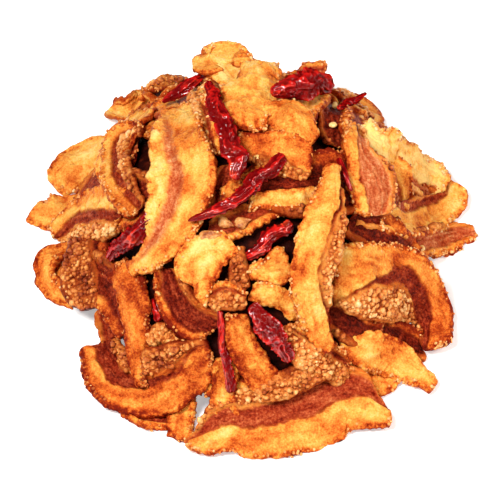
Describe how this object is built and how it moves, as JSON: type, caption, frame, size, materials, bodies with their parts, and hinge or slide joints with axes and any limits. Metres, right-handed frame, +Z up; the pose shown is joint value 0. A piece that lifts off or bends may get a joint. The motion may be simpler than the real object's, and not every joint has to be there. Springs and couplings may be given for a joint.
{
  "type": "garlic fried pork belly heap",
  "caption": "Loose round heap of thin crisp curled pork belly slices, fried with garlic, with dried red chillies lying among them.",
  "frame": {"origin": "on the table, under the middle of the heap", "axes": "+Z up, -Y towards the picture's camera, +X to the right as seen from it"},
  "size_m": [0.202, 0.205, 0.0871],
  "materials": {
    "fried_pork": "crisp golden to red-brown fried fat and meat, grainy and slightly oily",
    "dried_chilli": "dark red, glossy, deeply wrinkled dried skin",
    "fried_garlic": "pale golden brown fried garlic"
  },
  "bodies": {
    "root": {"pork_heap": "fried_pork", "chilli_1": "dried_chilli", "chilli_2": "dried_chilli", "chilli_3": "dried_chilli", "chilli_4": "dried_chilli", "chilli_5": "dried_chilli", "chilli_6": "dried_chilli", "chilli_7": "dried_chilli", "chilli_8": "dried_chilli", "chilli_9": "dried_chilli", "chilli_10": "dried_chilli", "chilli_11": "dried_chilli", "garlic_1": "fried_garlic", "garlic_2": "fried_garlic", "garlic_3": "fried_garlic"}
  },
  "joints": []
}
